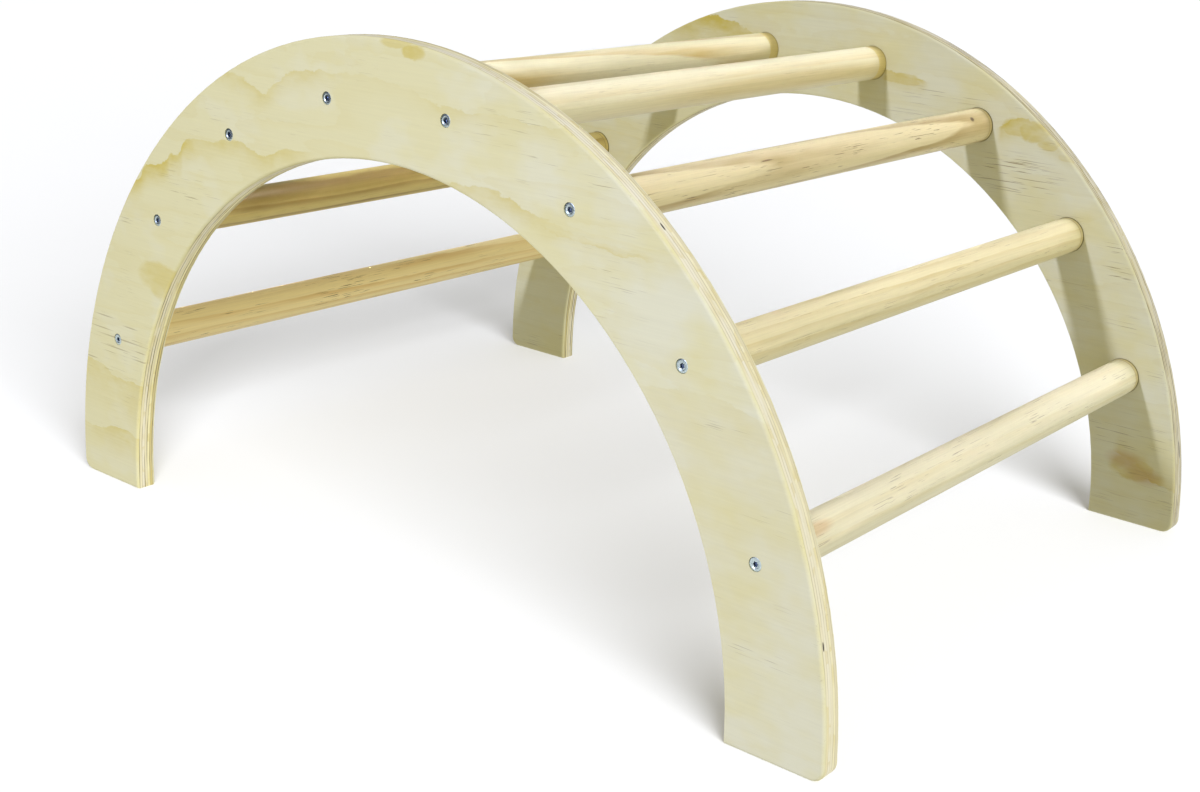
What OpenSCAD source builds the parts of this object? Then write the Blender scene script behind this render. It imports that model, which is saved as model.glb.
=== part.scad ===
// Children's rocker arch: two plywood arch panels joined by round rungs, each rung held by two screws.
// X runs along the arch, Y from panel to panel, Z up. The origin is on the floor under the middle.

/* [Arch panels] */
// Length of the arch over its feet
arch_length = 830; // [700:5:1000]
// Height from the floor to the top of the arch
arch_height = 440; // [380:5:520]
// Width over the outer faces of both panels
overall_width = 576; // [400:2:800]
// Thickness of each plywood panel
panel_thickness = 18; // [15:0.5:24]
// Width of a panel at its feet
foot_width = 82; // [70:1:110]
// Width of a panel at the top of the arch
crown_width = 92; // [70:1:120]
// Height of the straight part of each foot
foot_straight = 10; // [8:1:30]
// Radius of the outer bottom corner of each foot
foot_corner_r = 10; // [4:0.5:14]
// Radius of the rounded-over panel edges
edge_r = 2.5; // [1:0.25:4]

/* [Rungs] */
// Number of rungs
rung_count = 8; // [5:1:10]
// Diameter of a rung
rung_d = 32; // [25:0.5:38]
// Angle above the floor of the first rung and of the last
first_rung_angle = 19; // [15:0.5:24]
// Chamfer on the ends of a rung
rung_chamfer = 1; // [0.5:0.1:2]
// Depth of the blind socket that a rung end sits in
socket_depth = 6; // [3:0.5:9]
// Gap round a rung in its socket
socket_gap = 0.4; // [0.1:0.05:0.6]

/* [Screws] */
// Length of a screw from its head face to its tip
screw_length = 50; // [40:1:60]
// Diameter of the screw head
head_d = 10; // [9:0.1:12]
// Height of the straight rim of the head
head_rim = 0.8; // [0.5:0.1:1.2]
// Height of the bevel round the head's face
head_bevel = 0.3; // [0.1:0.05:0.4]
// Width of the bevel round the head's face
head_bevel_w = 1.1; // [0.5:0.1:1.5]
// How far the head sits below the panel's face
head_sink = 0.2; // [0.1:0.1:0.8]
// Diameter of the plain neck under the head
neck_d = 7; // [6:0.1:8]
// Diameter of the threaded shank at the root of its thread
core_d = 5; // [4:0.1:5.5]
// Length of the tapered tip
tip_length = 4; // [2:0.5:8]
// Width of the six-lobed drive recess over its lobes
drive_d = 4.4; // [3.6:0.1:5]
// Depth of the drive recess
drive_depth = 2.2; // [1.5:0.1:3]
// Gap round a screw in the holes drilled for it
screw_gap = 0.15; // [0.05:0.05:0.3]

/* [Hidden] */
$fn = 96;

plywood = "#dcd6b4";
pine = "#dcc394";
zinc = "#a9b0b8";

// The outer, inner and middle lines of a panel: half their length, and their rise above the feet
half_length = arch_length / 2;
rise = arch_height - foot_straight;
inner_half = half_length - foot_width;
inner_rise = rise - crown_width;
middle_half = half_length - foot_width / 2;
middle_rise = rise - crown_width / 2;

// A panel is built from an outer and an inner rim that lap along the middle of the band, in two halves
// that lap at the crown
rim_lap = 5;
crown_lap = 5;
rim_depth = max(foot_width, crown_width) / 2 + rim_lap;
corner_r = min(foot_corner_r, foot_straight);

// The plywood left behind a socket, which the screw passes through
socket_floor = panel_thickness - socket_depth;
rung_length = overall_width - 2 * socket_floor;
rung_step = (180 - 2 * first_rung_angle) / (rung_count - 1);

// The neck stops just short of the rung, and the pilot hole runs a little past the screw's tip
neck_short = 0.5;
neck_length = socket_floor - head_sink - neck_short;
pilot_extra = 2;
pilot_depth = head_sink + screw_length - socket_floor + pilot_extra;
head_cone = (head_d - neck_d) / 2;
neck_step = 0.5;
tip_d = core_d * 0.4;
lobe_d = drive_d / 4;

// A cut reaches this far past the face that it opens
past = 1;

// Each line is a three-centred arch: two side arcs and a crown arc, which meet at joints. The radius to a
// joint runs 3 along for every 4 up, the slope of the 3-4-5 triangle, so that the radii come out round.
joint_run = 3;
joint_climb = 4;
joint_slant = norm([joint_run, joint_climb]);
joint_angle = atan2(joint_climb, joint_run);

// Radius of the side arcs and of the crown arc of a line that is a wide from its middle and rises b
function side_radius(a, b) =
    (b * joint_run - a * (joint_slant - joint_climb)) / (joint_run + joint_climb - joint_slant);
function crown_radius(a, b) =
    (a * joint_climb - b * (joint_slant - joint_run)) / (joint_run + joint_climb - joint_slant);

// The point of the middle line whose outward normal stands at this angle above the floor, as [x, z]
function middle_point(angle) =
    let (
        side = angle > 90 ? -1 : 1,
        slope = min(angle, 180 - angle),
        rs = side_radius(middle_half, middle_rise),
        rc = crown_radius(middle_half, middle_rise)
    )
    slope < joint_angle
        ? [side * (middle_half - rs + rs * cos(slope)), foot_straight + rs * sin(slope)]
        : [side * rc * cos(slope), foot_straight + middle_rise - rc + rc * sin(slope)];

// Rung 1 is the lowest one on the -X side
function rung_place(i) = middle_point(180 - first_rung_angle - (i - 1) * rung_step);

// Section through the edge of a panel, rounded over on both faces, with the edge at x = 0
module edge_section(depth) {
    translate([-depth, 0]) square([depth - edge_r, panel_thickness]);
    translate([-edge_r, edge_r]) square([edge_r, panel_thickness - 2 * edge_r]);
    for (y = [edge_r, panel_thickness - edge_r]) translate([-edge_r, y]) circle(r = edge_r);
}

// Sweeps a section along the +X half of a line, from the top of the foot to just past the middle of the
// crown. The side arc and the crown arc meet on the radius of their joint, which is turned into place last.
module half_line(a, b) {
    rs = side_radius(a, b);
    rc = crown_radius(a, b);
    intersection() {
        translate([a - rs, foot_straight, 0]) rotate([0, 0, joint_angle]) union() {
            mirror([0, 1, 0]) rotate_extrude(angle = 180) translate([rs, 0]) children();
            translate([rs - rc, 0, 0]) rotate_extrude(angle = 180) translate([rc, 0]) children();
        }
        translate([-crown_lap, foot_straight, -past])
            cube([arch_length, arch_height, panel_thickness + 2 * past]);
    }
}

// The straight foot on the +X side, with a rounded outer corner and rounded-over edges
module foot() {
    difference() {
        intersection() {
            translate([half_length, foot_straight, 0]) rotate([90, 0, 0]) linear_extrude(foot_straight) {
                edge_section(foot_width / 2);
                translate([-foot_width, 0]) mirror([1, 0]) edge_section(foot_width / 2);
            }
            translate([inner_half, 0, 0]) rotate([90, 0, 90]) linear_extrude(foot_width)
                mirror([1, 0]) edge_section(foot_straight);
        }
        translate([half_length - corner_r, 0, 0]) cube([corner_r, corner_r, panel_thickness]);
    }
    translate([half_length - corner_r, corner_r, 0]) rotate([0, 0, -90])
        rotate_extrude(angle = 90) translate([corner_r, 0]) edge_section(corner_r);
}

// The hole for one screw, drilled from the outer face at z = panel_thickness
module screw_hole() {
    translate([0, 0, panel_thickness]) mirror([0, 0, 1]) {
        translate([0, 0, -past]) cylinder(d = head_d + 2 * screw_gap, h = past + head_sink + head_rim);
        translate([0, 0, head_sink + head_rim])
            cylinder(d1 = head_d + 2 * screw_gap, d2 = neck_d + 2 * screw_gap, h = head_cone);
        cylinder(d = neck_d + 2 * screw_gap, h = panel_thickness);
    }
}

// A whole panel lying on its inner face, with its feet along the X axis
module arch_panel() {
    color(plywood) difference() {
        union() {
            for (side = [0, 1]) mirror([side, 0, 0]) half_line(half_length, rise) edge_section(rim_depth);
            for (side = [0, 1]) mirror([side, 0, 0])
                half_line(inner_half, inner_rise) mirror([1, 0]) edge_section(rim_depth);
            for (side = [0, 1]) mirror([side, 0, 0]) foot();
        }
        for (i = [1 : rung_count]) translate([rung_place(i).x, rung_place(i).y, 0]) {
            translate([0, 0, -past]) cylinder(d = rung_d + 2 * socket_gap, h = past + socket_depth);
            screw_hole();
        }
    }
}

module near_arch_panel() {
    translate([0, panel_thickness - overall_width / 2, 0]) rotate([90, 0, 0]) arch_panel();
}

module far_arch_panel() {
    mirror([0, 1, 0]) near_arch_panel();
}

// A round rung, chamfered and drilled for a screw at both ends
module rung(i) {
    color(pine) translate([rung_place(i).x, 0, rung_place(i).y]) rotate([90, 0, 0]) difference() {
        union() {
            cylinder(d = rung_d, h = rung_length - 2 * rung_chamfer, center = true);
            for (end = [0, 1]) mirror([0, 0, end]) translate([0, 0, rung_length / 2 - rung_chamfer])
                cylinder(d1 = rung_d, d2 = rung_d - 2 * rung_chamfer, h = rung_chamfer);
        }
        for (end = [0, 1]) mirror([0, 0, end]) translate([0, 0, rung_length / 2 - pilot_depth])
            cylinder(d = core_d + 2 * screw_gap, h = pilot_depth + past);
    }
}

// A countersunk screw with its head face at z = 0 and its tip below
module screw() {
    color(zinc) difference() {
        rotate_extrude() polygon([
            [0, 0],
            [head_d / 2 - head_bevel_w, 0],
            [head_d / 2, -head_bevel],
            [head_d / 2, -head_rim],
            [neck_d / 2, -head_rim - head_cone],
            [neck_d / 2, -neck_length + neck_step],
            [core_d / 2, -neck_length],
            [core_d / 2, -screw_length + tip_length],
            [tip_d / 2, -screw_length],
            [0, -screw_length],
        ]);
        translate([0, 0, -drive_depth]) {
            cylinder(d = drive_d - lobe_d, h = drive_depth + past);
            for (lobe = [0 : 5]) rotate([0, 0, 60 * lobe]) translate([(drive_d - lobe_d) / 2, 0, 0])
                cylinder(d = lobe_d, h = drive_depth + past);
        }
    }
}

module near_screw(i) {
    translate([rung_place(i).x, head_sink - overall_width / 2, rung_place(i).y]) rotate([90, 0, 0]) screw();
}

module far_screw(i) {
    mirror([0, 1, 0]) near_screw(i);
}

near_arch_panel();
far_arch_panel();
for (i = [1 : rung_count]) {
    rung(i);
    near_screw(i);
    far_screw(i);
}
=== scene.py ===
# %% [markdown]
# # A wooden rocker arch
#
# The real object is a children's rocker arch: two arches sawn from 18 mm plywood, joined by eight turned
# pine rungs, each held by a countersunk screw at both ends. Its shapes could be modelled here, but they are
# there already as measured solids, which are better dressed than redrawn. So this lesson is mostly about
# making wood look like wood. Units are metres: X runs along the arch, Y from the near panel to the far one,
# and Z up.

import math

import bpy
from mathutils import Matrix, Vector


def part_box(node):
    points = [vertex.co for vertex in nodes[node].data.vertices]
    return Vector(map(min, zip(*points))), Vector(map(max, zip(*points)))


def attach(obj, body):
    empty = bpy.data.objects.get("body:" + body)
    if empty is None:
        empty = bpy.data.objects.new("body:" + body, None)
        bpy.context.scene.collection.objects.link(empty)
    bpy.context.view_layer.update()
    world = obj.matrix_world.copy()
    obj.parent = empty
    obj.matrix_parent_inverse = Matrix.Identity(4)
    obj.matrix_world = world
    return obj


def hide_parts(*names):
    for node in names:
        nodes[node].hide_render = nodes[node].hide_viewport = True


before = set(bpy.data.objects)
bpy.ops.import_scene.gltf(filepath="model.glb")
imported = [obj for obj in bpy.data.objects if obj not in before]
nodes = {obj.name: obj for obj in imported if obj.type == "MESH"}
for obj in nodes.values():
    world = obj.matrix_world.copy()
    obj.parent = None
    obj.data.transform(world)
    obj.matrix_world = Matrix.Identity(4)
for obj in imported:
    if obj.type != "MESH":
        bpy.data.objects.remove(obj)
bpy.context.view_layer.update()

# %% [markdown]
# Colours are written as sRGB hex, as a paint card gives them. Blender mixes light in linear values, so one
# function turns a hex colour into those. Every colour below goes through it.


# %% Colours from hex
def linear(hex_colour):
    """A colour such as "d9d6bc" as linear red, green, blue and alpha."""
    channels = [int(hex_colour[i : i + 2], 16) / 255 for i in (0, 2, 4)]
    return tuple(c / 12.92 if c <= 0.04045 else ((c + 0.055) / 1.055) ** 2.4 for c in channels) + (1.0,)


print("mid grey in linear light:", round(linear("808080")[0], 3))

# %% [markdown]
# A material is a net of nodes, which could be placed by hand in the shader editor. In code, one small
# function adds any node, types in plain values and links the outputs of other nodes. Two spans come back
# often: most of a noise lies between 0.3 and 0.7, and many a share falls from 1 to 0.

# %% Add one node
NOISE_SPAN = {"From Min": 0.3, "From Max": 0.7}
FALLING = {"To Min": 1.0, "To Max": 0.0}


def add(tree, kind, inputs, operation=None, stops=(), points=(), **settings):
    """Adds a node and returns its first output. Inputs go by place or name: a value, or an output to link.
    Stops are the places and colours of a ramp, and points are the points of a curve."""
    node = tree.nodes.new("ShaderNode" + kind)
    if operation:
        node.operation = operation
    for name, value in settings.items():
        setattr(node, name, value)
    for i, (place, colour) in enumerate(stops):
        ramp = node.color_ramp.elements
        stop = ramp[i] if i < 2 else ramp.new(place)
        stop.position = place
        stop.color = linear(colour)
    for i, (across, value) in enumerate(points):
        curve = node.mapping.curves[0].points
        point = curve[i] if i < 2 else curve.new(across, value)
        point.location = (across, value)
    if points:
        node.mapping.update()
    for key, value in inputs.items():
        named = isinstance(key, str)
        socket = next(s for s in node.inputs if s.enabled and s.name == key) if named else node.inputs[key]
        if isinstance(value, bpy.types.NodeSocket):
            tree.links.new(value, socket)
        else:
            socket.default_value = value
    return next(s for s in node.outputs if s.enabled)


# %% [markdown]
# The pattern of wood runs through the whole piece and shows wherever the saw cuts it. So the woods below
# are solid textures, read from the place of each point in the object, in millimetres, and every scale is a
# real size: a ring of 9 mm is 9 mm. A colour is built up in layers. Each material ends in its colour, a
# roughness that a noise varies, so that no surface shines evenly, and a slight bump.

# %% Start, layer and finish a material
MM = 0.001


def new_material(name):
    """An empty material: the material, its node tree, its shader, and the place in mm as an output."""
    material = bpy.data.materials.new(name)
    material.use_nodes = True
    tree = material.node_tree
    place = add(tree, "TexCoord", {}).node.outputs["Object"]
    place_mm = add(tree, "VectorMath", {0: place, "Scale": 1 / MM}, "SCALE")
    return material, tree, tree.nodes["Principled BSDF"], place_mm


def lay_over(tree, colour, share, strength, hex_colour):
    """The colour with another one laid over it, as strongly as its share times its strength."""
    factor = add(tree, "Math", {0: share, 1: strength}, "MULTIPLY")
    return add(tree, "Mix", {"Factor": factor, "A": colour, "B": linear(hex_colour)}, data_type="RGBA")


def finish_material(tree, shader, colour, noise, rough_from, rough_to, height, bump, bump_mm):
    """Gives the shader its colour, its roughness, which follows a noise, and a bump this strong and deep."""
    tree.links.new(colour, shader.inputs["Base Color"])
    ends = {"To Min": rough_from, "To Max": rough_to}
    tree.links.new(add(tree, "MapRange", {"Value": noise} | NOISE_SPAN | ends), shader.inputs["Roughness"])
    relief = add(tree, "Bump", {"Strength": bump, "Distance": bump_mm * MM, "Height": height})
    tree.links.new(relief, shader.inputs["Normal"])


# %% [markdown]
# ## The plywood
#
# The arches are sawn from pine plywood: seven veneers of about 2.6 mm, peeled from the log like paper from a
# roll and glued with their grains crossed. A picture of plywood wrapped round the panel would miss the
# layers at the edge. A solid texture counts them from the outer face inwards. Their joints waver a little,
# because a peeled veneer is never quite even.

# %% Count the layers
PLIES = 7
PANEL_MM = 18.0
HALF_WIDTH_MM = 288.0
PLY_WAVE_MM = 0.9
JUST_INSIDE = 0.01


def ply_layers(tree, place, inward):
    """How many layers deep a point lies (0.0 to 7.0), in which ply (0 to 6), and how deep in mm.
    Inward is +1 or -1: the way along Y from the panel's outer face into it."""
    along_y = add(tree, "SeparateXYZ", {0: place}).node.outputs[1]
    depth = add(tree, "Math", {0: along_y, 1: inward, 2: HALF_WIDTH_MM}, "MULTIPLY_ADD")
    slow = add(tree, "TexNoise", {"Vector": place, "Scale": 0.022, "Detail": 3.0})
    wave = add(tree, "MapRange", {"Value": slow, "To Min": -PLY_WAVE_MM, "To Max": PLY_WAVE_MM})
    wavy = add(tree, "Math", {0: depth, 1: wave}, "ADD")
    counted = add(tree, "MapRange", {"Value": wavy, "From Max": PANEL_MM, "To Max": float(PLIES)})
    layer = add(tree, "Clamp", {"Value": counted, "Min": JUST_INSIDE, "Max": PLIES - JUST_INSIDE})
    ply = add(tree, "Math", {0: layer}, "FLOOR")
    return layer, ply, depth


print("one ply is", round(PANEL_MM / PLIES, 2), "mm")

# %% [markdown]
# The faces and every second ply have their grain along X, and the others along Z. One vector holds a point's
# place along, through and across the grain of its ply. Each ply is shifted, so that no two look the same.

# %% Turn the grain ply by ply
PLY_SHIFT_MM = (137.0, 3.1, 71.0)


def ply_grain(tree, place, ply, depth, seed):
    """The place along, through and across the grain of this ply, in mm."""
    xyz = add(tree, "SeparateXYZ", {0: place}).node.outputs
    along_x = add(tree, "CombineXYZ", {0: xyz[0], 1: depth, 2: xyz[2]})
    along_z = add(tree, "CombineXYZ", {0: xyz[2], 1: depth, 2: xyz[0]})
    crossed = add(tree, "Math", {0: ply, 1: 2.0}, "MODULO")
    turned = add(tree, "Mix", {"Factor": crossed, "A": along_x, "B": along_z}, data_type="VECTOR")
    ply_number = add(tree, "CombineXYZ", {0: ply, 1: ply, 2: ply})
    moved = add(tree, "VectorMath", {0: ply_number, 1: PLY_SHIFT_MM, 2: turned}, "MULTIPLY_ADD")
    return add(tree, "VectorMath", {0: moved, 1: (seed, 0.0, seed)}, "ADD")


print("the pattern shifts by", PLY_SHIFT_MM, "mm per ply")

# %% [markdown]
# Seen close, pine is long pale fibres with short dark lines of resin between them. Both are noise, drawn out
# along the grain. A fibre of 0.05 mm is far too fine to show, so it is drawn 1 to 2 mm wide. Most resin
# lines are 5 to 25 mm long, as on the real veneer. What has its own place on the wood, such as a cluster of
# them, a knot or a stain, is an oval round a point.


# %% Streaks and spots
def streaks(tree, grain, length_mm, width_mm, detail):
    """Noise drawn out along the grain to about this length and width."""
    scale = (1 / length_mm, 1 / width_mm, 1 / width_mm)
    stretched = add(tree, "VectorMath", {0: grain, 1: scale}, "MULTIPLY")
    return add(tree, "TexNoise", {"Vector": stretched, "Scale": 1.0, "Detail": detail, "Roughness": 0.6})


def near_spots(tree, place, spots, faint, full):
    """A share that is 0 at faint and 1 at full, which are distances in half sizes of the nearest spot. A
    spot is its middle and its three half sizes in mm."""
    nearest = None
    for centre, half in spots:
        from_centre = add(tree, "VectorMath", {0: place, 1: centre}, "SUBTRACT")
        in_halves = add(tree, "VectorMath", {0: from_centre, 1: half}, "DIVIDE")
        reach = add(tree, "VectorMath", {0: in_halves}, "LENGTH").node.outputs["Value"]
        nearest = reach if nearest is None else add(tree, "Math", {0: nearest, 1: reach}, "MINIMUM")
    return add(tree, "MapRange", {"Value": nearest, "From Min": faint, "From Max": full})


def marked(tree, place, colour, marks, full):
    """The colour with marks over it. A mark is a spot, given as above, with its colour and strength."""
    for centre, half, hex_colour, strength in marks:
        near = near_spots(tree, place, [(centre, half)], faint=1.3, full=full)
        colour = lay_over(tree, colour, near, strength, hex_colour)
    return colour


# %% [markdown]
# Peeling opens the log's growth rings into wide bands with a ragged edge: pale early wood, then
# honey-coloured late wood that stops sharply. A noise would give bands too, but never in the right places.
# The eye knows this panel by its largest ones, so these are listed: a line over X where the band stops,
# how strong it is along that line, and how far it fades.

# %% One growth band
SPAN_MM = (-420.0, 420.0)
TOP_MM = 450.0
BAND_EDGE_MM = 1.6
FADE_POWER = 1.5


def over_span(points, top=1.0):
    """Points that are given over X in mm, as points of a curve that runs from 0 to 1 both ways."""
    low, high = SPAN_MM
    return [((x - low) / (high - low), value / top) for x, value in points]


def growth_band(tree, place, jag, edge, strength, fade, side=1):
    """The share of late wood in one band: sharp along its edge and fading over so many mm on one side of
    it. Side 1 fades down from the edge, and side -1 fades up."""
    xyz = add(tree, "SeparateXYZ", {0: place}).node.outputs
    along = add(tree, "MapRange", {"Value": xyz[0], "From Min": SPAN_MM[0], "From Max": SPAN_MM[1]})
    line = add(tree, "FloatCurve", {"Value": along}, points=over_span(edge, TOP_MM))
    edge_z = add(tree, "Math", {0: line, 1: TOP_MM, 2: jag}, "MULTIPLY_ADD")
    below = add(tree, "Math", {0: edge_z, 1: xyz[2]}, "SUBTRACT")
    inside = add(tree, "Math", {0: below, 1: float(side)}, "MULTIPLY")
    begins = {"Value": inside, "From Max": BAND_EDGE_MM}
    starts = add(tree, "MapRange", begins, interpolation_type="SMOOTHSTEP")
    fades = add(tree, "MapRange", {"Value": inside, "From Max": fade} | FALLING)
    faded = add(tree, "Math", {0: fades, 1: FADE_POWER}, "POWER")
    band = add(tree, "Math", {0: starts, 1: faded}, "MULTIPLY")
    weight = add(tree, "FloatCurve", {"Value": along}, points=over_span(strength))
    return add(tree, "Math", {0: band, 1: weight}, "MULTIPLY", use_clamp=True)


print("bands are laid over", SPAN_MM, "mm")

# %% [markdown]
# Each band below is a row of points (X, Z) in mm for its edge, and a row of (X, strength). The near panel
# has a wide band on its left shoulder, one over the crown, two on its left foot and two on its right
# shoulder, and its right leg is a little darker all the way down.

# %% Bands of the near panel
NEAR_BANDS = [
    dict(edge=[(-420, 284), (-312, 290), (-298, 303), (-270, 310), (-266, 317), (-251, 320), (-246, 329),
          (-230, 335), (-205, 337), (-175, 341), (-150, 336), (-134, 334), (-122, 341), (-95, 345),
          (420, 343)],
         strength=[(-420, 1), (-312, 0.9), (-260, 0.95), (-235, 0.9), (-210, 0.65), (-180, 0.6),
          (-150, 0.5), (-125, 0.7), (-95, 0.4), (-60, 0), (420, 0)], fade=26.0),
    dict(edge=[(-420, 396), (-180, 396), (-165, 393), (-140, 384), (-125, 391), (-108, 403), (-80, 408),
          (0, 410), (25, 408), (65, 398), (105, 400), (150, 398), (420, 392)],
         strength=[(-420, 0), (-185, 0.6), (-140, 0.5), (-120, 0.4), (-100, 0.6), (-60, 0.3), (20, 0.15),
          (60, 0.3), (160, 0.25), (220, 0), (420, 0)], fade=20.0),
    dict(edge=[(-420, 111), (-385, 109), (-370, 105), (-350, 102), (-320, 101), (420, 101)],
         strength=[(-420, 0.5), (-385, 0.45), (-350, 0.5), (-320, 0.55), (-290, 0), (420, 0)], fade=66.0),
    dict(edge=[(-420, 50), (-390, 47), (-365, 52), (-345, 53), (-325, 49), (420, 49)],
         strength=[(-420, 0.35), (-390, 0.35), (-355, 0.6), (-330, 0.5), (-290, 0), (420, 0)], fade=44.0),
    dict(edge=[(-420, 346), (70, 346), (110, 346), (150, 338), (190, 329), (250, 326), (290, 324),
          (420, 320)],
         strength=[(-420, 0), (60, 0), (75, 0.6), (130, 0.6), (190, 0.3), (300, 0.15), (420, 0)],
         fade=24.0),
    dict(edge=[(-420, 330), (140, 330), (185, 323), (230, 320), (290, 321), (420, 318)],
         strength=[(-420, 0), (135, 0), (165, 0.6), (230, 0.55), (275, 0.2), (300, 0), (420, 0)],
         fade=9.0, side=-1),
    dict(edge=[(-420, 238), (245, 238), (300, 241), (320, 243), (340, 238), (370, 234), (420, 234)],
         strength=[(-420, 0), (240, 0), (265, 0.16), (330, 0.19), (370, 0.17), (420, 0.16)], fade=400.0),
]
print("bands on the near panel:", len(NEAR_BANDS))

# %% [markdown]
# The far panel has a band on its right shoulder, one on its right foot, a short one beside the crown and a
# wide one to the left of it.

# %% Bands of the far panel
FAR_BANDS = [
    dict(edge=[(-420, 345), (205, 345), (213, 352), (232, 357), (250, 350), (270, 340), (290, 331),
          (420, 325)],
         strength=[(-420, 0), (204, 0), (212, 1), (245, 1), (262, 0.8), (290, 0.5), (310, 0), (420, 0)],
         fade=24.0),
    dict(edge=[(-420, 64), (352, 64), (368, 58), (382, 52), (392, 44), (410, 40), (420, 40)],
         strength=[(-420, 0), (350, 0), (360, 0.75), (390, 0.75), (405, 0.4), (420, 0.3)],
         fade=30.0, side=-1),
    dict(edge=[(-420, 384), (80, 384), (110, 380), (135, 377), (420, 377)],
         strength=[(-420, 0), (70, 0), (85, 0.9), (118, 0.9), (132, 0), (420, 0)], fade=18.0),
    dict(edge=[(-420, 416), (-130, 415), (-110, 412), (-90, 406), (-70, 398), (-40, 380), (420, 380)],
         strength=[(-420, 1), (-150, 1), (-80, 0.9), (-60, 0), (420, 0)], fade=60.0),
]
print("bands on the far panel:", len(FAR_BANDS))

# %% [markdown]
# Clusters of resin lines, single long ones, blotches of late wood and brown stains are ovals on the face:
# the middle (X, Z), half the length and half the height in mm, and for a blotch or a stain its strength.
# The gaps at the edge are knots that fell out of an inner veneer, each given by its middle (X, Y, Z)
# and half its length; they are not cut, and their dark colour is painted shade for the hole. The near panel
# shows its outer face, ply 0, and the far one its inner face, ply 6.

# %% What shows on each face
NEAR_FACE = dict(
    ply=0,
    bands=NEAR_BANDS,
    blotches=[
        (-287, 206, 31, 14, 0.5), (-285, 201, 18, 15, 0.5), (14, 438, 18, 4, 0.45), (31, 433, 13, 6, 0.7),
    ],
    stains=[],
    clusters=[
        (-237, 287, 25, 8), (-322, 247, 16, 6), (-382, 149, 20, 9), (-330, 137, 22, 5), (-350, 121, 36, 8),
        (-215, 358, 26, 6), (-370, 105, 42, 5), (145, 401, 20, 5), (170, 375, 20, 5), (210, 365, 15, 6),
        (232, 305, 24, 9), (355, 73, 22, 7),
    ],
    lines=[
        (-346, 137.5, 34, 0.7), (-371, 155, 13, 0.6), (-333, 151, 10, 0.6), (-395, 112, 9, 0.6),
        (-318, 123, 14, 0.6), (-355, 128, 18, 0.6), (-377, 143, 16, 0.5), (-320, 131, 8, 0.6),
    ],
    gaps=[(259.9, -280.4, 344.2, 3.2), (406.7, -284.0, 95.0, 3.2)],
)
FAR_FACE = dict(
    ply=6,
    bands=FAR_BANDS,
    blotches=[
        (224, 346, 15, 9, 0.6), (243, 345, 18, 10, 0.85), (259, 336, 12, 7, 0.7), (284, 326, 18, 5, 0.4),
        (100, 376, 24, 6, 0.7), (372, 53, 24, 12, 0.6),
    ],
    stains=[(364, 59, 17, 8, 0.34), (384, 48, 17, 8, 0.34)],
    clusters=[(360, 80, 40, 9), (227, 303, 38, 16), (337, 251, 15, 6), (337, 230, 12, 8)],
    lines=[],
    gaps=[(409.6, 281.4, 77.5, 8.0)],
)
print("clusters of resin lines:", len(NEAR_FACE["clusters"]), "near and", len(FAR_FACE["clusters"]), "far")

# %% [markdown]
# The colour starts with the tint of each veneer. The panels are yellower on the left, like wood near the
# log's heart, and in clouds all over. The dark sixth tint is painted shade, for the shaded far side of the
# inner edge on the left. Towards the right, the inner veneers get paler and more alike, which lifts that
# painted shade. One ramp with hard steps holds the seven tints, which is plainer than seven mixes.

# %% Tint of each veneer
# The sixth tint, c0b27c, is painted shade for the far side of the inner edge on the left.
PLY_TINTS = ["dcd9b5", "e4dcba", "e4dec8", "ded6b4", "eae2b2", "c0b27c", "dcd9b5"]
HEARTWOOD = "dad39c"
INNER_PALE = "e2ddc6"
HEART_SIDE_MM = {"From Min": -60.0, "From Max": 330.0}
CLOUDS = {"From Min": 0.4, "From Max": 0.66, "To Max": 0.95}
PALEST_SHARE = 0.6
HEART_SHARE_INSIDE = 0.2
print("tints from the outer face inwards:", *PLY_TINTS)


def veneer_tint(tree, layer, grain, place, shows, yellow):
    """The tint of each layer. Shows is 1 in the veneer that is seen and 0 in the rest, and yellow is how
    yellow the heart side is."""
    stops = [(i / PLIES, tint) for i, tint in enumerate(PLY_TINTS)]
    ends_first = [stops[0], stops[-1]] + stops[1:-1]
    share = add(tree, "Math", {0: layer, 1: float(PLIES)}, "DIVIDE")
    tint = add(tree, "ValToRGB", {0: share}, stops=ends_first)
    tint.node.color_ramp.interpolation = "CONSTANT"

    along_x = add(tree, "SeparateXYZ", {0: place}).node.outputs[0]
    heart_side = add(tree, "MapRange", {"Value": along_x, "To Min": yellow, "To Max": 0.0} | HEART_SIDE_MM)
    away_from_it = {"From Max": yellow, "To Min": PALEST_SHARE, "To Max": 0.0}
    paler = add(tree, "MapRange", {"Value": heart_side} | away_from_it)
    inside = add(tree, "Math", {0: 1.0, 1: shows}, "SUBTRACT")
    tint = lay_over(tree, tint, paler, inside, INNER_PALE)

    cloud = streaks(tree, grain, length_mm=75.0, width_mm=48.0, detail=3.0)
    clouds = add(tree, "MapRange", {"Value": cloud} | CLOUDS)
    cast = add(tree, "Math", {0: heart_side, 1: clouds}, "ADD", use_clamp=True)
    less_inside = add(tree, "MapRange", {"Value": shows, "To Min": HEART_SHARE_INSIDE, "To Max": 1.0})
    return lay_over(tree, tint, cast, less_inside, HEARTWOOD)


# %% [markdown]
# Over that come the growth rings. Where none are listed, faint contours do: a smooth noise is cut into
# steps, as a map cuts a hill, and each step is a ring. The bands are mottled and have ragged edges, because
# a knife that peels a log never follows a ring exactly.

# %% Late wood
HILL_RINGS = 9.0
HILL_JAG = 0.004
MOTTLE = {"From Min": 0.34, "From Max": 0.58, "To Min": 0.5, "To Max": 1.1}
OVAL_JAG = (0.6, 0.0, 0.6)
FAR_OFF_MM = 4000.0
CONTOURS = {"To Min": 0.3, "To Max": 0.1}
HONEY = "c8b448"
print("contours cut the hill into", HILL_RINGS, "rings")


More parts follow.
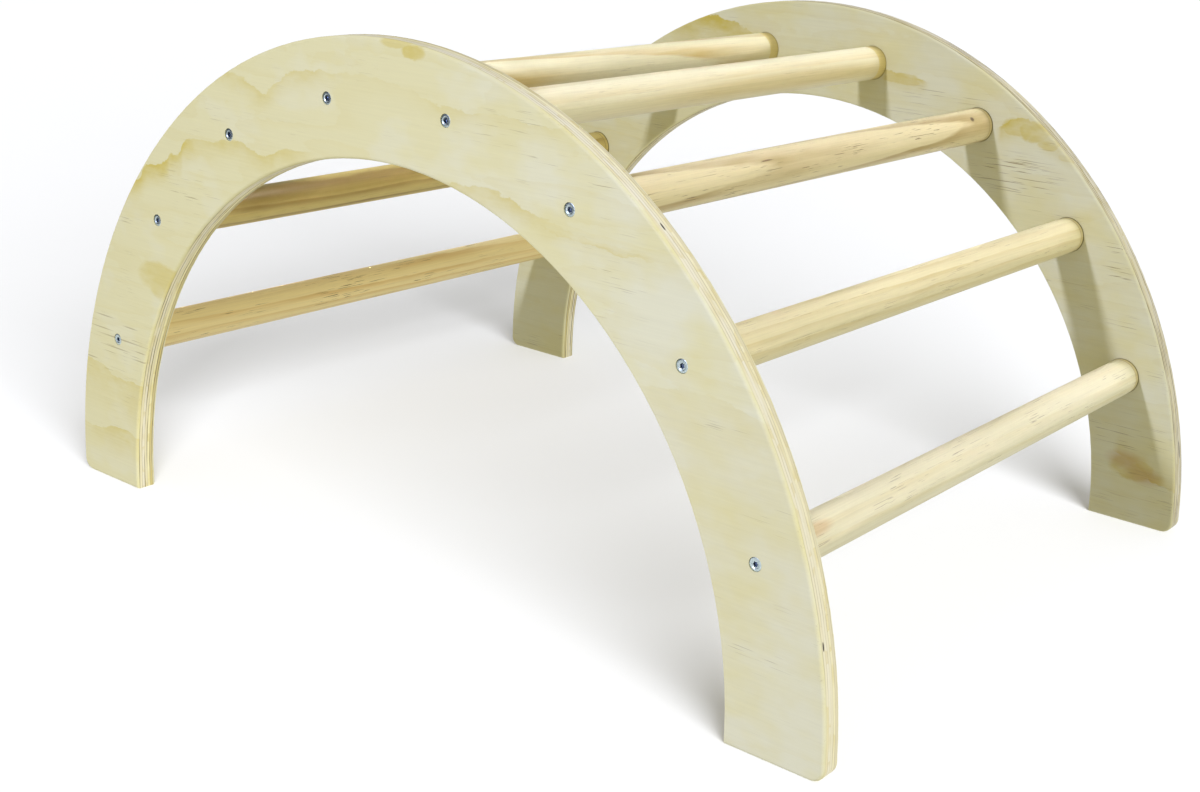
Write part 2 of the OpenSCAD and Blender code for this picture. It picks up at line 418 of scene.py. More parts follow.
def late_wood(tree, ring, begins, ends):
    """The late wood from one ring to the next (0 to 1): it darkens from begins to ends, then stops."""
    grows = {"Value": ring, "From Min": begins, "From Max": ends}
    darkens = add(tree, "MapRange", grows, interpolation_type="SMOOTHSTEP")
    stops = add(tree, "MapRange", {"Value": ring, "From Min": ends} | FALLING)
    return add(tree, "Math", {0: darkens, 1: stops}, "MULTIPLY")


def contour_share(tree, grain, jag):
    """The late wood of the contours."""
    hill = streaks(tree, grain, length_mm=460.0, width_mm=70.0, detail=2.0)
    jagged = add(tree, "Math", {0: jag, 1: HILL_JAG, 2: hill}, "MULTIPLY_ADD")
    rings = add(tree, "Math", {0: jagged, 1: HILL_RINGS}, "MULTIPLY")
    ring = add(tree, "Math", {0: rings}, "FRACT")
    return late_wood(tree, ring, begins=0.45, ends=0.97)


def laid_share(tree, grain, place, jag, bands, blotches):
    """The late wood of the bands and blotches that are listed."""
    banded = 0.0
    for band in bands:
        banded = add(tree, "Math", {0: banded, 1: growth_band(tree, place, jag, **band)}, "MAXIMUM")
    cloud = streaks(tree, grain, length_mm=42.0, width_mm=22.0, detail=3.0)
    mottled = add(tree, "MapRange", {"Value": cloud} | MOTTLE)
    laid = add(tree, "Math", {0: banded, 1: mottled}, "MULTIPLY", use_clamp=True)
    wobble = add(tree, "CombineXYZ", {0: jag, 2: jag})
    uneven = add(tree, "VectorMath", {0: wobble, 1: OVAL_JAG, 2: place}, "MULTIPLY_ADD")
    for x, z, long, high, strength in blotches:
        oval = near_spots(tree, uneven, [((x, 0.0, z), (long, FAR_OFF_MM, high))], faint=1.1, full=0.8)
        mottled_oval = add(tree, "Math", {0: oval, 1: mottled}, "MULTIPLY")
        blotch = add(tree, "Math", {0: mottled_oval, 1: strength}, "MULTIPLY")
        laid = add(tree, "Math", {0: laid, 1: blotch}, "MAXIMUM")
    return laid


def veneer_colour(tree, layer, ply, grain, place, jag, face, yellow):
    """The tints with late wood on them: all of it on the veneer that shows, and contours on the rest."""
    shows = add(tree, "Math", {0: ply, 1: float(face["ply"]), 2: 0.5}, "COMPARE")
    tint = veneer_tint(tree, layer, grain, place, shows, yellow)
    contour = contour_share(tree, grain, jag)
    laid = laid_share(tree, grain, place, jag, face["bands"], face["blotches"])
    laid_here = add(tree, "Math", {0: laid, 1: shows}, "MULTIPLY")
    how_plain = add(tree, "MapRange", {"Value": shows} | CONTOURS)
    everywhere = add(tree, "Math", {0: contour, 1: how_plain}, "MULTIPLY")
    late = add(tree, "Math", {0: laid_here, 1: everywhere}, "MAXIMUM")
    return lay_over(tree, tint, late, 1.0, HONEY)


# %% [markdown]
# Next come the dark things. Resin lines show here and there, and far more of them in the clusters. At the
# edge, the glue is a dark line along each joint, broken where the joint is tight, and shows less on the
# right half.

# %% Resin and glue lines
RESIN_CUT = {"From Min": 0.63, "From Max": 0.7}
RESIN_AREAS = {"From Min": 0.52, "From Max": 0.66, "To Max": 0.6}
CLUSTER_DEEP_MM, LINE_DEEP_MM = 9.0, 2.0
JOINT_SHIFT_MM = (61.0, 0.0, 47.0)
TIGHT_TO_OPEN = {"From Min": 0.4, "From Max": 0.62, "To Min": 0.15, "To Max": 1.0}
LEFT_TO_RIGHT_MM = {"From Min": -120.0, "From Max": 0.0}


def resin_share(tree, grain, place, face, face_y):
    """Where a resin line shows: a few everywhere, many in the clusters, and the long ones that are listed.
    """
    noise = streaks(tree, grain, length_mm=34.0, width_mm=0.9, detail=1.0)
    cut = add(tree, "MapRange", {"Value": noise} | RESIN_CUT, interpolation_type="SMOOTHSTEP")
    area = streaks(tree, grain, length_mm=90.0, width_mm=32.0, detail=2.0)
    few = add(tree, "MapRange", {"Value": area} | RESIN_AREAS)
    spots = [((x, face_y, z), (long, CLUSTER_DEEP_MM, high)) for x, z, long, high in face["clusters"]]
    many = near_spots(tree, place, spots, faint=1.5, full=0.7)
    gate = add(tree, "Math", {0: few, 1: many}, "MAXIMUM")
    scattered = add(tree, "Math", {0: cut, 1: gate}, "MULTIPLY")
    if not face["lines"]:
        return scattered
    spots = [((x, face_y, z), (long, LINE_DEEP_MM, high)) for x, z, long, high in face["lines"]]
    laid = near_spots(tree, place, spots, faint=1.3, full=0.5)
    return add(tree, "Math", {0: scattered, 1: laid}, "MAXIMUM")


def glue_share(tree, layer, place, width, on_the_right):
    """Dark glue along each joint between two plies. Width is its half width in plies, and on_the_right is
    how much of it shows on the right half of the panel."""
    inside = add(tree, "Clamp", {"Value": layer, "Min": 0.5, "Max": PLIES - 0.5})
    over = add(tree, "Math", {0: inside}, "FRACT")
    under = add(tree, "Math", {0: 1.0, 1: over}, "SUBTRACT")
    to_joint = add(tree, "Math", {0: over, 1: under}, "MINIMUM")
    line = add(tree, "MapRange", {"Value": to_joint, "From Min": width / 3, "From Max": width} | FALLING)
    joint = add(tree, "Math", {0: inside}, "ROUND")
    number = add(tree, "CombineXYZ", {0: joint, 1: joint, 2: joint})
    moved = add(tree, "VectorMath", {0: number, 1: JOINT_SHIFT_MM, 2: place}, "MULTIPLY_ADD")
    breaks = add(tree, "TexNoise", {"Vector": moved, "Scale": 0.02, "Detail": 2.0})
    open_here = add(tree, "MapRange", {"Value": breaks} | TIGHT_TO_OPEN)
    along_x = add(tree, "SeparateXYZ", {0: place}).node.outputs[0]
    less = {"Value": along_x, "To Min": 1.0, "To Max": on_the_right}
    shown = add(tree, "MapRange", less | LEFT_TO_RIGHT_MM)
    broken = add(tree, "Math", {0: line, 1: open_here}, "MULTIPLY")
    return add(tree, "Math", {0: broken, 1: shown}, "MULTIPLY")


# %% [markdown]
# All of it now comes together in one material: the veneers and their rings, the brown stain on the far
# foot, the fibres, the resin, and last the glue lines and the gaps that the saw has opened, painted dark as
# the shade in them. Sanded wood under a thin satin lacquer has a soft sheen, a roughness of 0.5 to 0.62, and
# the resin lines lie a little deeper than the fibres.

# %% Satin pine plywood
JAG_MM = 7.0
STAIN_DEEP_MM = 4.0
GAP_HALF_THICK_MM = 0.75
FIBRE_SHADE = {"To Min": 0.972, "To Max": 1.018}
RESIN_DIP, GLUE_DIP, GAP_DIP = -0.8, -1.0, -3.0
BROWN = "ac7440"
RESIN = "785f32"
GLUE = "6f5e3a"
GAP_SHADE = "2b2015"


def plywood(name, inward, face, resin_look, glue_look, yellow, seed):
    """Sanded pine plywood for one panel. The looks say how strongly the resin and the glue show."""
    material, tree, shader, place = new_material(name)
    layer, ply, depth = ply_layers(tree, place, inward)
    grain = ply_grain(tree, place, ply, depth, seed)
    ragged = streaks(tree, grain, length_mm=18.0, width_mm=11.0, detail=4.0)
    jag = add(tree, "MapRange", {"Value": ragged, "To Min": -JAG_MM, "To Max": JAG_MM})
    veneer = veneer_colour(tree, layer, ply, grain, place, jag, face, yellow)
    face_depth = PANEL_MM if face["ply"] else 0.0
    face_y = -inward * (HALF_WIDTH_MM - face_depth)
    stains = [
        ((x, face_y, z), (long, STAIN_DEEP_MM, high), BROWN, strength)
        for x, z, long, high, strength in face["stains"]
    ]
    veneer = marked(tree, place, veneer, stains, full=0.5)

    fibre = streaks(tree, grain, length_mm=80.0, width_mm=1.8, detail=4.0)
    shade = add(tree, "MapRange", {"Value": fibre} | NOISE_SPAN | FIBRE_SHADE)
    fibred = add(tree, "VectorMath", {0: veneer, "Scale": shade}, "SCALE")
    resin = resin_share(tree, grain, place, face, face_y)
    resined = lay_over(tree, fibred, resin, resin_look, RESIN)
    glue = glue_share(tree, layer, place, *glue_look)
    glued = lay_over(tree, resined, glue, 1.0, GLUE)
    # The gaps are painted dark, as the shade inside an open hole.
    holes = [((x, y, z), (half, GAP_HALF_THICK_MM, half)) for x, y, z, half in face["gaps"]]
    gap = near_spots(tree, place, holes, faint=1.15, full=0.85)
    colour = lay_over(tree, glued, gap, 1.0, GAP_SHADE)

    dips = add(tree, "Math", {0: resin, 1: RESIN_DIP, 2: fibre}, "MULTIPLY_ADD")
    joints = add(tree, "Math", {0: glue, 1: GLUE_DIP, 2: dips}, "MULTIPLY_ADD")
    height = add(tree, "Math", {0: gap, 1: GAP_DIP, 2: joints}, "MULTIPLY_ADD")
    finish_material(tree, shader, colour, fibre, 0.62, 0.5, height, bump=0.14, bump_mm=0.2)
    return material


# %% [markdown]
# Each panel gets its own plywood, because no two sheets are alike: the near one is the yellower, and the far
# one has the darker resin and the bolder glue lines.


# %% Dress the panels
def dress(node_name, material):
    """Puts one material on the whole of a measured solid."""
    mesh = nodes[node_name].data
    mesh.materials.clear()
    mesh.materials.append(material)
    print(node_name, "wears", material.name)


near_looks = dict(resin_look=0.46, glue_look=(0.19, 0.4), yellow=0.7, seed=11.0)
far_looks = dict(resin_look=0.7, glue_look=(0.3, 1.0), yellow=0.35, seed=531.0)
dress("near_arch_panel", plywood("satin_pine_plywood_near", 1.0, NEAR_FACE, **near_looks))
dress("far_arch_panel", plywood("satin_pine_plywood_far", -1.0, FAR_FACE, **far_looks))

# %% [markdown]
# ## The rungs
#
# A rung is 32 mm of solid pine turned round on a lathe. Its pattern is the tree's growth rings, cut by a
# cylinder: flames where they lie flat to the surface, and straight lines to the sides of that. So the rings
# are real rings here, round a tree's heart that lies beside the rung's middle and leans away from it, and
# the flames come by themselves.

# %% Growth rings round a tree's heart
RUNG_R_MM = 16.0
RUNG_PLACES = {n: (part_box(f"rung_{n}")[0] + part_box(f"rung_{n}")[1]) / 2 / MM for n in range(1, 9)}


def tree_rings(tree, own, flat, heart_mm, lean, ring_mm, wander_mm, grain):
    """How far a point lies from one growth ring to the next, 0 to 1. Flat is the angle (0 is +X, 90 is up)
    where the rings lie flat to the surface, and the heart lies so many mm off on the other side."""
    towards = Vector((math.cos(math.radians(flat)), 0.0, math.sin(math.radians(flat))))
    along_y = add(tree, "SeparateXYZ", {0: own}).node.outputs[1]
    along_axis = add(tree, "CombineXYZ", {1: along_y})
    section = add(tree, "VectorMath", {0: own, 1: along_axis}, "SUBTRACT")
    every_way = add(tree, "CombineXYZ", {0: along_y, 2: along_y})
    leaned = add(tree, "VectorMath", {0: every_way, 1: towards * lean, 2: section}, "MULTIPLY_ADD")
    from_heart = add(tree, "VectorMath", {0: leaned, 1: towards * heart_mm}, "ADD")
    reach = add(tree, "VectorMath", {0: from_heart}, "LENGTH").node.outputs["Value"]
    wander = streaks(tree, grain, length_mm=120.0, width_mm=22.0, detail=3.0)
    wobble = add(tree, "MapRange", {"Value": wander, "To Min": -wander_mm, "To Max": wander_mm})
    radius = add(tree, "Math", {0: reach, 1: wobble}, "ADD")
    count = add(tree, "Math", {0: radius, 1: ring_mm}, "DIVIDE")
    return add(tree, "Math", {0: count}, "FRACT")


print("rung heights in mm:", [round(middle.z) for middle in RUNG_PLACES.values()])

# %% [markdown]
# Within a ring the wood turns from pale to tan and stops sharply, as on the panels. A knot, a streak of
# darker wood or a thin line of painted shade is a mark: an angle round the rung and a place along it, half
# its length and width, its colour and its strength. The far ends get a band of painted shade, for the far
# panel's shadow on them.

# %% Rings, marks and the painted shade at the far end
SOCKET_MM = 270.0
SHADE_EDGE_MM = 0.4
RING_CLOUDS = {"From Min": 0.35, "From Max": 0.7, "To Min": 0.3, "To Max": 1.0}
# The yellow-tan of this band is painted shade: the far panel's shadow on the end of the rung.
PAINTED_END_SHADE = "dcc878"
print("a rung goes into its far socket at", SOCKET_MM, "mm")


def ringed_body(tree, own, grain, pale, tan, contrast, rings):
    """Pale wood with tan rings, which are fainter in some clouds than in others."""
    ring = tree_rings(tree, own, grain=grain, **rings)
    growth = late_wood(tree, ring, begins=0.3, ends=0.92)
    cloud = streaks(tree, grain, length_mm=130.0, width_mm=16.0, detail=2.0)
    clouds = add(tree, "MapRange", {"Value": cloud} | RING_CLOUDS)
    share = add(tree, "Math", {0: growth, 1: clouds}, "MULTIPLY")
    return lay_over(tree, linear(pale), share, contrast, tan)


def on_rung(angle, along, half_long, half_wide, colour, strength):
    """A mark with its angle turned into a point on the surface of the rung."""
    turn = math.radians(angle)
    middle = (RUNG_R_MM * math.cos(turn), along, RUNG_R_MM * math.sin(turn))
    return middle, (half_wide, half_long, half_wide), colour, strength


def glue_stained(tree, along_y, body, stain_mm, strength):
    """The body with its last millimetres before the far socket darkened by a band of painted shade."""
    starts = SOCKET_MM - stain_mm
    edge = {"From Min": starts - SHADE_EDGE_MM, "From Max": starts + SHADE_EDGE_MM}
    return lay_over(tree, body, add(tree, "MapRange", {"Value": along_y} | edge), strength, PAINTED_END_SHADE)


# %% [markdown]
# The fibres and the resin of a rung are finer than the panels', because a lathe cuts them cleanly. A turned
# surface is a little smoother than a sanded veneer, at a roughness of 0.42 to 0.55 under the same lacquer.

# %% Satin turned pine
RUNG_FIBRE_SHADE = {"To Min": 0.93, "To Max": 1.04}
RUNG_RESIN_CUT = {"From Min": 0.64, "From Max": 0.7}
RUNG_RESIN_AREAS = {"From Min": 0.45, "From Max": 0.6}
RUNG_RESIN = "74582e"


def pine(name, middle, pale, tan, contrast, resin, seed, marks, stain, **rings):
    """Turned and sanded pine for one rung, as a solid texture round the rung's middle."""
    material, tree, shader, place = new_material(name)
    own = add(tree, "VectorMath", {0: place, 1: middle}, "SUBTRACT")
    xyz = add(tree, "SeparateXYZ", {0: own}).node.outputs
    lengthwise = add(tree, "CombineXYZ", {0: xyz[1], 1: xyz[0], 2: xyz[2]})
    grain = add(tree, "VectorMath", {0: lengthwise, 1: (seed, seed, seed)}, "ADD")
    body = ringed_body(tree, own, grain, pale, tan, contrast, rings)
    body = marked(tree, own, body, [on_rung(*mark) for mark in marks], full=0.6)
    # The last millimetres before the far socket get a band of painted shade.
    body = glue_stained(tree, xyz[1], body, *stain)

    fibre = streaks(tree, grain, length_mm=70.0, width_mm=1.25, detail=4.0)
    shade = add(tree, "MapRange", {"Value": fibre} | NOISE_SPAN | RUNG_FIBRE_SHADE)
    fibred = add(tree, "VectorMath", {0: body, "Scale": shade}, "SCALE")
    noise = streaks(tree, grain, length_mm=24.0, width_mm=0.8, detail=1.0)
    cut = add(tree, "MapRange", {"Value": noise} | RUNG_RESIN_CUT, interpolation_type="SMOOTHSTEP")
    area = streaks(tree, grain, length_mm=80.0, width_mm=14.0, detail=1.0)
    here = add(tree, "MapRange", {"Value": area} | RUNG_RESIN_AREAS)
    lines = add(tree, "Math", {0: cut, 1: here}, "MULTIPLY")
    colour = lay_over(tree, fibred, lines, resin, RUNG_RESIN)

    height = add(tree, "Math", {0: lines, 1: RESIN_DIP, 2: fibre}, "MULTIPLY_ADD")
    finish_material(tree, shader, colour, fibre, 0.55, 0.42, height, bump=0.25, bump_mm=0.2)
    return material


# %% [markdown]
# Each rung is turned from its own stick, so each has its own heart, lean, ring width and colours. Rungs 1
# and 2 are darker heartwood, 4, 5 and 8 are nearly white sapwood, and rung 6 has the clearest flames. The
# painted shade at the far end is 5 mm long and faint on most rungs, and clear and 12 to 13 mm long on rungs
# 4 and 5. A thin dark line of painted shade shows where each rung goes in, and a fainter one where a short
# band begins.

# %% Eight sticks of pine
WOOD_COLUMNS = "flat heart_mm lean ring_mm wander_mm pale tan contrast resin seed".split()
RUNG_WOOD = {
    1: (95, 24, 0.012, 8.0, 3.0, "fbe6a4", "deb86a", 0.75, 0.9, 11.0),
    2: (110, 14, 0.010, 9.0, 3.0, "d4c072", "8a660c", 0.8, 0.5, 57.0),
    3: (120, 40, 0.02, 9.0, 3.0, "dfd3a0", "c5a862", 0.7, 0.4, 93.0),
    4: (-20, 52, -0.05, 15.0, 2.5, "e6dfb4", "caae60", 1.0, 0.2, 131.0),
    5: (-62, 40, 0.01, 15.0, 2.0, "e6dfb8", "d2bc7a", 0.5, 0.2, 177.0),
    6: (22, 44.3, -0.03, 9.0, 2.2, "dfd2a2", "a4894a", 0.95, 1.0, 213.0),
    7: (125, 50, 0.01, 8.0, 3.0, "dfd5a6", "c9b676", 0.7, 0.5, 251.0),
    8: (100, 60, 0.015, 10.0, 3.0, "e5dfbc", "d8ca94", 0.5, 0.5, 307.0),
}
RUNG_MARKS = {
    2: [(62, -190, 62, 15, "5e4c02", 0.75), (34, -90, 210, 10, "8e7010", 0.65)],
    5: [(-8, 110, 190, 9, "d0bc7c", 0.6)],
    6: [(40, 237, 3.0, 2.2, "5a4022", 0.9)],
    8: [(46, -236, 18, 5, "cfae78", 0.6)],
}
# Length in mm and strength of the painted shade at the far end: faint on most rungs, deep on 4 and 5.
FAINT_END_SHADE = (5.0, 0.35)
DEEP_END_SHADE = {4: (13.0, 0.85), 5: (12.0, 0.85)}
END_SHADE_BY_RUNG = {8: (5.0, 0.5)} | DEEP_END_SHADE
# Both lines are painted shade: the dark gap where the rung goes in, and the edge of a short band.
SOCKET_GAP_SHADE = (90, SOCKET_MM - 0.1, 1.0, 60, "3a2a12", 0.9)
SHADE_EDGE_LINE = (90, SOCKET_MM - 4.8, 0.6, 60, "7a5c28", 0.55)
for number, row in RUNG_WOOD.items():
    wood = dict(zip(WOOD_COLUMNS, row))
    shade_lines = [SOCKET_GAP_SHADE] if number in DEEP_END_SHADE else [SOCKET_GAP_SHADE, SHADE_EDGE_LINE]
    wood["marks"] = RUNG_MARKS.get(number, []) + shade_lines
    wood["stain"] = END_SHADE_BY_RUNG.get(number, FAINT_END_SHADE)
    dress(f"rung_{number}", pine(f"satin_turned_pine_{number}", RUNG_PLACES[number], **wood))

# %% [markdown]
# ## The screws
#
# Each rung end is held by a steel screw with a countersunk head and a star-shaped drive, sunk just below the
# face. The measured solid has the right size but a plain rim and no thread, so it is modelled again. It
# could be a spin of its profile. Here a circle is extruded and scaled ring by ring, as one would by hand,
# because the star drive then grows from the same ring of points.

# %% Helpers for shaping the screw
SIDES = 48
LOBES = 6
PER_LOBE = SIDES // LOBES
LEVEL_MM = 0.01
print("points to a lobe of the star:", PER_LOBE)


def pick(obj, test):
    """Selects the points whose place in mm passes the test, and stays in edit mode."""
    bpy.ops.object.mode_set(mode="EDIT")
    bpy.ops.mesh.select_all(action="DESELECT")
    bpy.ops.object.mode_set(mode="OBJECT")
    for vertex in obj.data.vertices:
        vertex.select = test(vertex.co / MM)
    bpy.ops.object.mode_set(mode="EDIT")


def grow(radius, height, path):
    """Extrudes the selected ring from its radius and height through each next one, in mm."""
    for next_radius, next_height in path:
        rise = (0, 0, (next_height - height) * MM)
        bpy.ops.mesh.extrude_region_move(TRANSFORM_OT_translate={"value": rise})
        factor = next_radius / radius
        bpy.ops.transform.resize(value=(factor, factor, 1), center_override=(0, 0, 0))
        radius, height = next_radius, next_height


# %% [markdown]
# The ring starts on the flat face of the head, and grows outwards over a softly domed rim, down the 45°
# countersink, along the neck and the threaded core, to the tip.

# %% Head, neck and core
FACE_R_MM = 3.9
HEAD_TO_TIP = [
    (4.55, -0.08), (4.85, -0.2), (5.0, -0.4), (5.0, -0.8), (3.5, -2.3), (3.5, -10.8), (2.5, -11.3),
    (2.5, -46.0), (1.0, -50.0),
]

bpy.ops.mesh.primitive_circle_add(vertices=SIDES, radius=FACE_R_MM * MM)
screw = bpy.context.object
pick(screw, lambda p: True)
grow(FACE_R_MM, 0.0, HEAD_TO_TIP)
bpy.ops.mesh.merge(type="CENTER")
print("screw profile:", len(screw.data.vertices), "points")

# %% [markdown]
# The drive is a star of six lobes in the floor of a shallow dish, whose slope catches a ring of light. Its
# ring is drawn in and out by scaling one point of each lobe at a time: 48 points make 8 steps per lobe, and
# each step gets the reach of a cosine.

# %% Star drive
DISH_MM = 0.35
DISH = [(3.3, 0.0), (2.7, -DISH_MM)]
DRIVE_R_MM = 2.2
DRIVE_DEPTH_MM = 2.3
DRIVE_WALL = [(2.0, -2.0), (1.0, -DRIVE_DEPTH_MM)]
LOBE_MIDDLE, LOBE_SWING = 0.86, 0.14


def on_drive_ring(p):
    """True for the points of the ring round the drive, on the floor of the dish."""
    return abs(p.z + DISH_MM) < LEVEL_MM and p.xy.length < DRIVE_R_MM + 0.2


def step_in_lobe(p):
    """Which of the steps of its lobe a point is on, counted round the screw from +X."""
    return round(math.atan2(p.y, p.x) / (2 * math.pi / SIDES)) % PER_LOBE


pick(screw, lambda p: abs(p.z) < LEVEL_MM)
grow(FACE_R_MM, 0.0, DISH + [(DRIVE_R_MM, -DISH_MM)])
for step in range(PER_LOBE):
    pick(screw, lambda p: on_drive_ring(p) and step_in_lobe(p) == step)
    reach = LOBE_MIDDLE + LOBE_SWING * math.cos(2 * math.pi * step / PER_LOBE)
    bpy.ops.transform.resize(value=(reach, reach, 1), center_override=(0, 0, 0))
pick(screw, on_drive_ring)
grow(DRIVE_R_MM, -DISH_MM, DRIVE_WALL)
bpy.ops.mesh.merge(type="CENTER")
bpy.ops.mesh.select_all(action="SELECT")
bpy.ops.mesh.normals_make_consistent(inside=False)
bpy.ops.object.mode_set(mode="OBJECT")
print("with its drive:", len(screw.data.vertices), "points")

# %% [markdown]
# The thread is a three-sided ridge wound up the core. A Screw modifier winds any profile, so a triangle is
# set against the core and given ten turns of 3 mm. Its open ends are filled, so that it is a closed body.

# %% Thread
PITCH_MM = 3.0
TURNS = 10
STEPS_PER_TURN = 24
RIDGE_R_MM = 0.87
RIDGE_AT_MM = 2.63
THREAD_FROM_MM = -44.0

upright = (math.pi / 2, math.pi / 2, 0)
start = (RIDGE_AT_MM * MM, 0, THREAD_FROM_MM * MM)
bpy.ops.mesh.primitive_circle_add(vertices=3, radius=RIDGE_R_MM * MM, rotation=upright, location=start)
thread = bpy.context.object
bpy.ops.object.transform_apply(location=True, rotation=True, scale=True)
turns = thread.modifiers.new("turns", "SCREW")
turns.axis = "Z"
turns.angle = 2 * math.pi
turns.steps = STEPS_PER_TURN
turns.render_steps = STEPS_PER_TURN
turns.iterations = TURNS
turns.screw_offset = PITCH_MM * MM
bpy.ops.object.modifier_apply(modifier=turns.name)
bpy.ops.object.mode_set(mode="EDIT")
bpy.ops.mesh.select_all(action="SELECT")
bpy.ops.mesh.fill_holes(sides=0)
bpy.ops.mesh.select_all(action="SELECT")
bpy.ops.mesh.normals_make_consistent(inside=False)
bpy.ops.object.mode_set(mode="OBJECT")
print("thread:", len(thread.data.vertices), "points over", TURNS * PITCH_MM, "mm")

# %% [markdown]
# On the real screw the thread is rolled out of the core. A boolean could weld the two, but the ridge is
# hidden in the rung, so it is joined as a body of its own that bites into the core. Smooth shading up to 28°
# rounds the dome and keeps the edges of the head and the thread crisp.

# %% Join the thread to the screw
CRISP_FROM = math.radians(28)

bpy.ops.object.select_all(action="DESELECT")
thread.select_set(True)
screw.select_set(True)
bpy.context.view_layer.objects.active = screw
bpy.ops.object.join()
bpy.ops.object.shade_smooth_by_angle(angle=CRISP_FROM)
print("screw with its thread:", len(screw.data.polygons), "faces")

# %% [markdown]
# The finish is bright zinc plating: a thin bluish-silver coat with a faint cloudiness. It is a metal, so
# metallic is 1 and the IOR keeps its default. Roughness runs from 0.26 to 0.42, which blurs the lights into
# soft glints. Down in the star the zinc gets darker colours: painted shade for the deep recess.


# %% Zinc plating
def zinc_plating(name, dark, bright, smooth, rough):
    """Zinc on steel, clouded between two colours and two roughnesses."""
    material, tree, shader, place = new_material(name)
    mottle = add(tree, "TexNoise", {"Vector": place, "Scale": 0.9, "Detail": 3.0})
    plated = add(tree, "ValToRGB", {0: mottle}, stops=[(0.35, dark), (0.65, bright)])
    shader.inputs["Metallic"].default_value = 1.0
    finish_material(tree, shader, plated, mottle, smooth, rough, mottle, bump=0.15, bump_mm=0.05)
    return material


def in_star(face):
    """True for the faces of the drive, below the floor of the dish."""
    height = face.center.z / MM
    return face.center.xy.length < DRIVE_R_MM * MM and -DRIVE_DEPTH_MM < height < -DISH_MM - 0.1


screw.data.materials.append(zinc_plating("zinc_plated_steel", "9eaeb0", "d8e4e2", 0.26, 0.42))
# The second material paints the recess of the star dark, as the shade down in it.
screw.data.materials.append(zinc_plating("zinc_with_painted_shade_in_the_star", "56647c", "8290a4", 0.3, 0.5))
star_faces = [face for face in screw.data.polygons if in_star(face)]
for face in star_faces:
    face.material_index = 1
print("faces in the star:", len(star_faces))

# %% [markdown]
# One screw is modelled, and copied sixteen times, each copy with its own mesh. A driver leaves every star
# turned differently, so each number has its own turn. Each copy takes the place of one measured screw.

# %% Sixteen screws
HEAD_SINK_MM = 0.2
TURN_PER_NUMBER = math.radians(37)

for number, middle in RUNG_PLACES.items():
    for side, measured in ((-1, f"near_screw_{number}"), (1, f"far_screw_{number}")):
        bpy.ops.object.select_all(action="DESELECT")
        copy = screw.copy()
        copy.data = screw.data.copy()
        copy.name = copy.data.name = f"zinc_{measured}"
        bpy.context.collection.objects.link(copy)
        copy.select_set(True)
        bpy.context.view_layer.objects.active = copy
        face_y = side * (HALF_WIDTH_MM - HEAD_SINK_MM)
        copy.location = Vector((middle.x, face_y, middle.z)) * MM
        copy.rotation_euler = (-side * math.pi / 2, TURN_PER_NUMBER * number, 0)
        bpy.ops.object.transform_apply(location=True, rotation=True, scale=True)
        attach(copy, "root")
        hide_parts(measured)
bpy.data.objects.remove(screw)
print("screws:", 2 * len(RUNG_PLACES))

# %% [markdown]
# ## The studio
#
# The arch stands on a sweep of white paper, which is stage and not part of the object. It casts no shadow
# and bounces no light, so that the sky also lights the arch from below, as a bright floor would, and the sky
# and the lamps alone decide how deep the shade on the wood is.

# %% White paper sweep
PAPER_M = 60


def sheet(name, material_name, colour, roughness, size, **where):
    """A flat sheet of the studio, which casts no shadow and bounces no light."""
    bpy.ops.mesh.primitive_plane_add(size=size, **where)
    flat = bpy.context.object
    flat.name = name
    material, tree, shader, place = new_material(material_name)
    shader.inputs["Base Color"].default_value = linear(colour)
    shader.inputs["Roughness"].default_value = roughness
    flat.data.materials.append(material)
    flat.visible_diffuse = False
    flat.visible_shadow = False
    print(name, "wears", material_name)
    return flat


sweep = sheet("paper_sweep", "white_paper_sweep", "eff0f4", 0.8, PAPER_M)

# %% [markdown]
# A soft studio light comes from everywhere at once. A ring of large lamps would give it, but an even sky of
# one slightly warm white does the same with less noise in the picture.

# %% Even sky
SKY_STRENGTH = 0.49

world = bpy.data.worlds.new("studio")
bpy.context.scene.world = world
world.use_nodes = True
sky = world.node_tree.nodes["Background"]
sky.inputs["Color"].default_value = linear("fffdf5")
sky.inputs["Strength"].default_value = SKY_STRENGTH
print("sky strength:", SKY_STRENGTH)

# %% [markdown]
# Bare metal shows what it mirrors. A nearly black card to the left, out of the picture, gives the upper
# screws something dark to mirror, while the lower ones still catch the white paper. Only reflections see it.

# %% Black card
CARD_PLACE = (-0.87, -0.98, 0.42)
CARD_TURN = (math.pi / 2, 0, math.radians(-45))
CARD_SIZE = (1.8, 0.8, 1)

card = sheet("black_card", "black_card", "343a42", 0.9, 1, location=CARD_PLACE, rotation=CARD_TURN)
card.scale = CARD_SIZE
card.visible_camera = False

# %% [markdown]
# A studio lights the object and the background apart. A lamp lights everything unless light linking tells
# it what to light. So the paper has a lamp of its own, the arch is lit by lamps that leave the paper out,
# and one lamp is for the rungs alone.

# %% What the lamps light
for_sweep = bpy.data.collections.new("for_sweep")
for_sweep.objects.link(sweep)
for_arch = bpy.data.collections.new("for_arch")
for_arch.objects.link(sweep)
for_arch.collection_objects[0].light_linking.link_state = "EXCLUDE"
for_rungs = bpy.data.collections.new("for_rungs")
for number in RUNG_PLACES:
    for_rungs.objects.link(nodes[f"rung_{number}"])


def lamp(name, kind, place, aim, colour, energy, receivers, **settings):
    """A lamp that points from its place to its aim and lights only its receivers."""
    bpy.ops.object.light_add(type=kind, location=place)
    light = bpy.context.object
    light.name = name
    light.data.energy = energy
    light.data.color = linear(colour)[:3]
    for setting, value in settings.items():
        setattr(light.data, setting, value)
    light.rotation_euler = (Vector(aim) - light.location).to_track_quat("-Z", "Y").to_euler()
    light.light_linking.receiver_collection = receivers
    print(name, "has the strength", energy)


